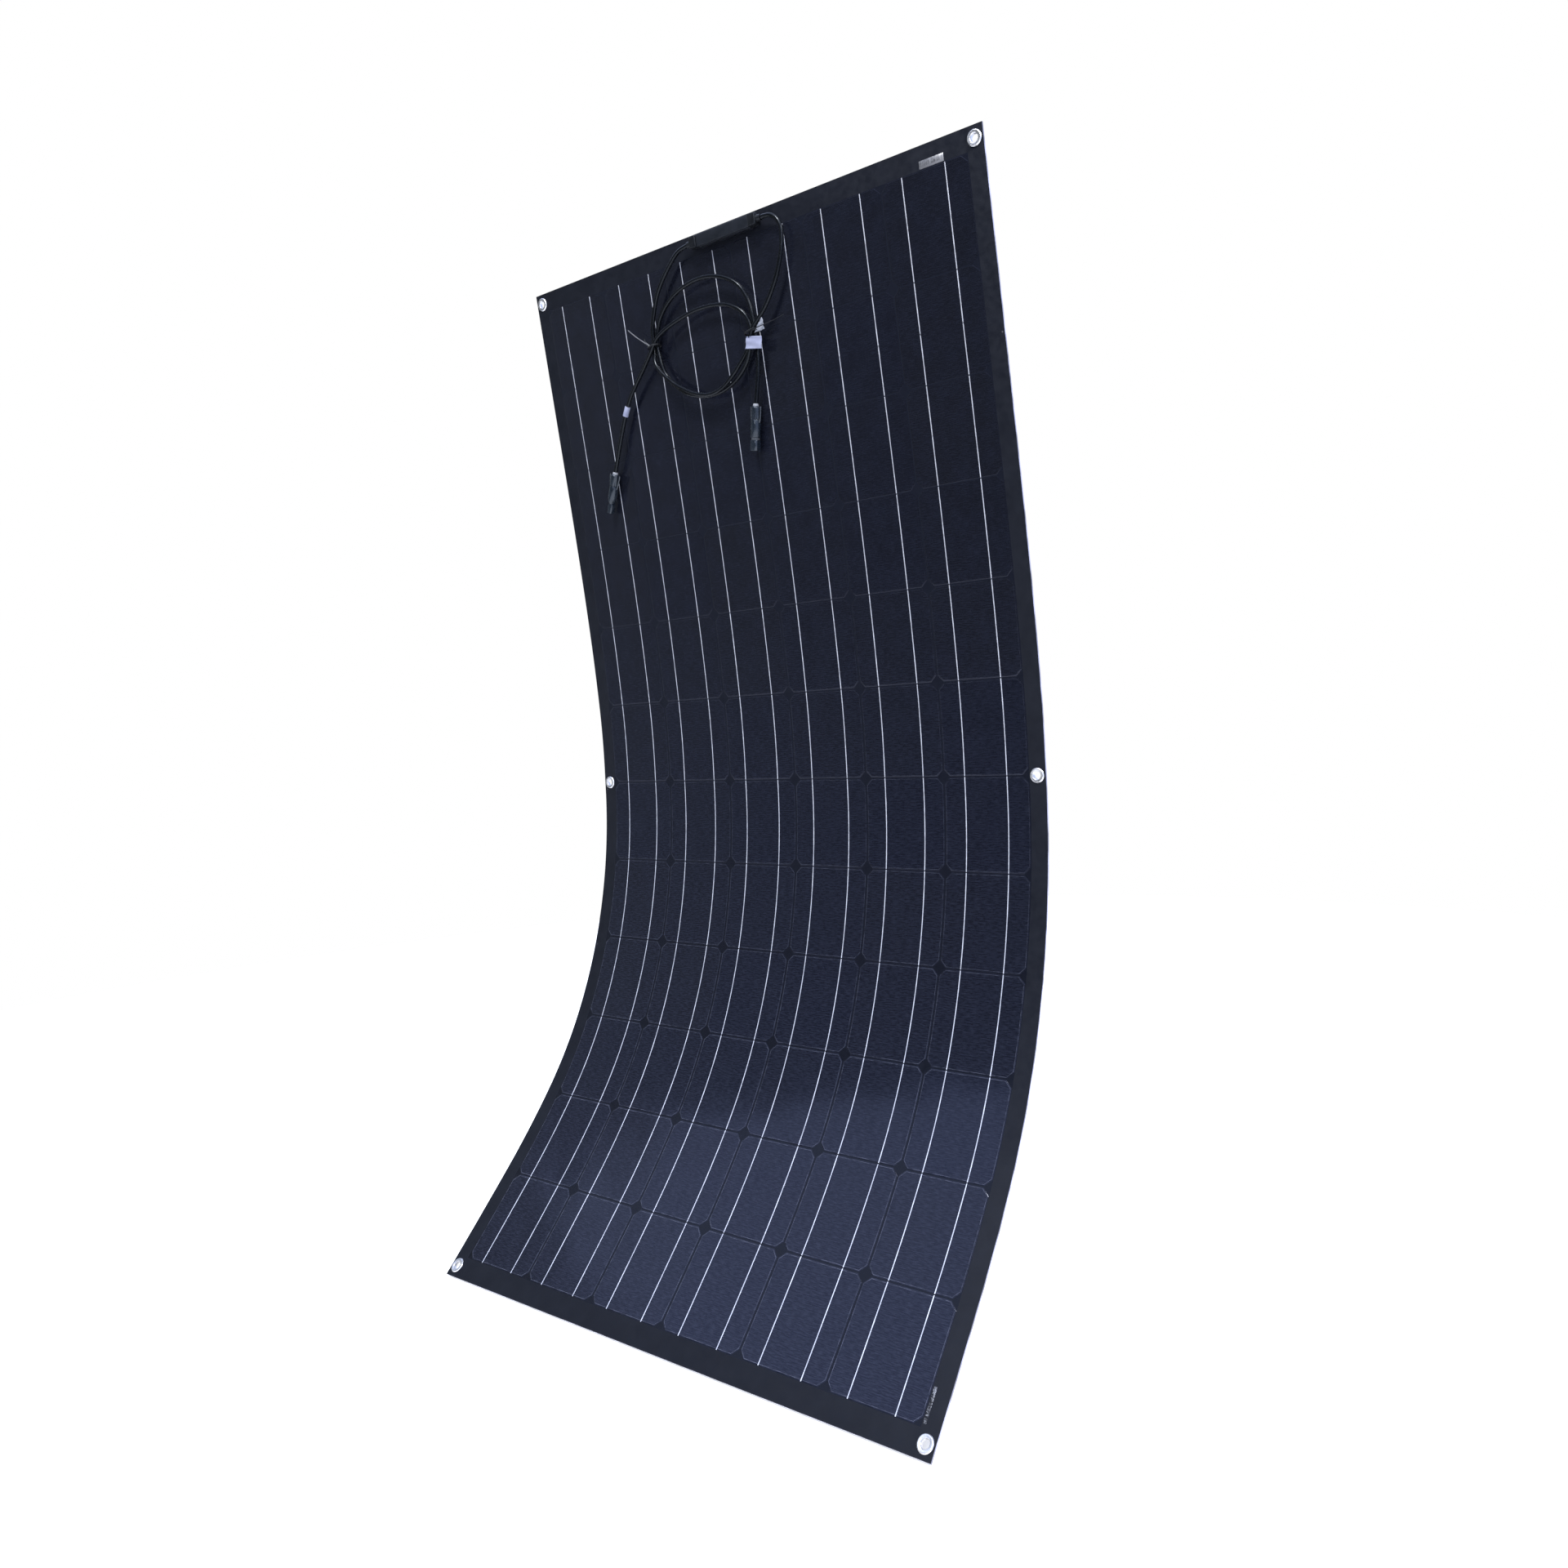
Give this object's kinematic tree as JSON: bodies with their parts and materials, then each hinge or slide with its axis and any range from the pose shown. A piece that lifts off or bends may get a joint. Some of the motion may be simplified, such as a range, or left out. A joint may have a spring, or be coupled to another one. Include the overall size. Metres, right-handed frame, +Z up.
{
  "type": "flexible solar sheet",
  "caption": "Bendable black solar laminate with rows of chamfered cells, eyelets at its edges, a slim junction box and two looped leads with connectors.",
  "frame": {"origin": "centre of the sheet's back face, on the line between the middle eyelets", "axes": "+Z up the sheet towards the junction box, -Y the way the cells face, +X to the right seen from the cells' side"},
  "size_m": [0.808, 0.3468, 1.4653],
  "materials": {
    "backsheet": "matt black textured laminate back and margins",
    "cell": "near-black blue silicon cells with fine fingers and silver ribbons, under plastic",
    "film": "satin clear front film over black",
    "steel": "polished stainless eyelets",
    "box_plastic": "satin black moulded plastic",
    "board": "diode board with tinned copper rails",
    "cable": "smooth black cable jacket",
    "tie": "black plastic-coated wire tie",
    "label": "plain white label"
  },
  "bodies": {
    "row_01": {"backsheet_row_01": "backsheet", "cells_row_01": "cell", "front_film_row_01": "film", "eyelet_top_left": "steel", "eyelet_washer_top_left": "steel", "eyelet_top_right": "steel", "eyelet_washer_top_right": "steel", "junction_box_base": "box_plastic", "junction_box_lid": "box_plastic", "diode_board": "board", "cable_gland_left": "box_plastic", "cable_gland_right": "box_plastic", "cable_left": "cable", "cable_right": "cable", "connector_nut_left": "box_plastic", "connector_body_left": "box_plastic", "connector_nut_right": "box_plastic", "connector_body_right": "box_plastic", "tie_left": "tie", "tie_right": "tie", "cable_sleeve": "label", "cable_tag": "label"},
    "row_02": {"backsheet_row_02": "backsheet", "cells_row_02": "cell", "front_film_row_02": "film"},
    "row_03": {"backsheet_row_03": "backsheet", "cells_row_03": "cell", "front_film_row_03": "film"},
    "row_04": {"backsheet_row_04": "backsheet", "cells_row_04": "cell", "front_film_row_04": "film"},
    "row_05": {"backsheet_row_05": "backsheet", "cells_row_05": "cell", "front_film_row_05": "film"},
    "middle": {"backsheet_middle": "backsheet", "cells_middle": "cell", "front_film_middle": "film", "eyelet_middle_left": "steel", "eyelet_washer_middle_left": "steel", "eyelet_middle_right": "steel", "eyelet_washer_middle_right": "steel"},
    "row_08": {"backsheet_row_08": "backsheet", "cells_row_08": "cell", "front_film_row_08": "film"},
    "row_09": {"backsheet_row_09": "backsheet", "cells_row_09": "cell", "front_film_row_09": "film"},
    "row_10": {"backsheet_row_10": "backsheet", "cells_row_10": "cell", "front_film_row_10": "film"},
    "row_11": {"backsheet_row_11": "backsheet", "cells_row_11": "cell", "front_film_row_11": "film"},
    "row_12": {"backsheet_row_12": "backsheet", "cells_row_12": "cell", "front_film_row_12": "film", "eyelet_bottom_left": "steel", "eyelet_washer_bottom_left": "steel", "eyelet_bottom_right": "steel", "eyelet_washer_bottom_right": "steel"}
  },
  "joints": [
    {"name": "bend_5_6", "type": "hinge", "parent": "middle", "child": "row_05", "pos_m": [0, -0.00605, 0.12687], "axis": [1, 0, 0], "range_deg": [-9, 0]},
    {"name": "bend_4_5", "type": "hinge", "parent": "row_05", "child": "row_04", "pos_m": [0, -0.01888, 0.25321], "axis": [1, 0, 0], "range_deg": [-8.12, 0]},
    {"name": "bend_3_4", "type": "hinge", "parent": "row_04", "child": "row_03", "pos_m": [0, -0.03524, 0.37915], "axis": [1, 0, 0], "range_deg": [-6.77, 0]},
    {"name": "bend_2_3", "type": "hinge", "parent": "row_03", "child": "row_02", "pos_m": [0, -0.05346, 0.50484], "axis": [1, 0, 0], "range_deg": [-4.52, 0]},
    {"name": "bend_1_2", "type": "hinge", "parent": "row_02", "child": "row_01", "pos_m": [0, -0.07223, 0.63044], "axis": [1, 0, 0], "range_deg": [-2.72, 0]},
    {"name": "bend_7_8", "type": "hinge", "parent": "middle", "child": "row_08", "pos_m": [0, -0.00894, -0.12666], "axis": [-1, 0, 0], "range_deg": [-14, 3.5]},
    {"name": "bend_8_9", "type": "hinge", "parent": "row_08", "child": "row_09", "pos_m": [0, -0.03597, -0.25061], "axis": [-1, 0, 0], "range_deg": [-15.42, 3.87]},
    {"name": "bend_9_10", "type": "hinge", "parent": "row_09", "child": "row_10", "pos_m": [0, -0.08307, -0.36838], "axis": [-1, 0, 0], "range_deg": [-17.52, 4.39]},
    {"name": "bend_10_11", "type": "hinge", "parent": "row_10", "child": "row_11", "pos_m": [0, -0.15129, -0.47525], "axis": [-1, 0, 0], "range_deg": [-14.02, 3.52]},
    {"name": "bend_11_12", "type": "hinge", "parent": "row_11", "child": "row_12", "pos_m": [0, -0.23507, -0.57062], "axis": [-1, 0, 0], "range_deg": [-7.02, 1.77]}
  ],
  "couplings": [
    {"joint": "bend_4_5", "follows": "bend_5_6", "ratio": 0.9},
    {"joint": "bend_3_4", "follows": "bend_5_6", "ratio": 0.75},
    {"joint": "bend_2_3", "follows": "bend_5_6", "ratio": 0.5},
    {"joint": "bend_1_2", "follows": "bend_5_6", "ratio": 0.3},
    {"joint": "bend_8_9", "follows": "bend_7_8", "ratio": 1.1},
    {"joint": "bend_9_10", "follows": "bend_7_8", "ratio": 1.25},
    {"joint": "bend_10_11", "follows": "bend_7_8", "ratio": 1},
    {"joint": "bend_11_12", "follows": "bend_7_8", "ratio": 0.5}
  ]
}
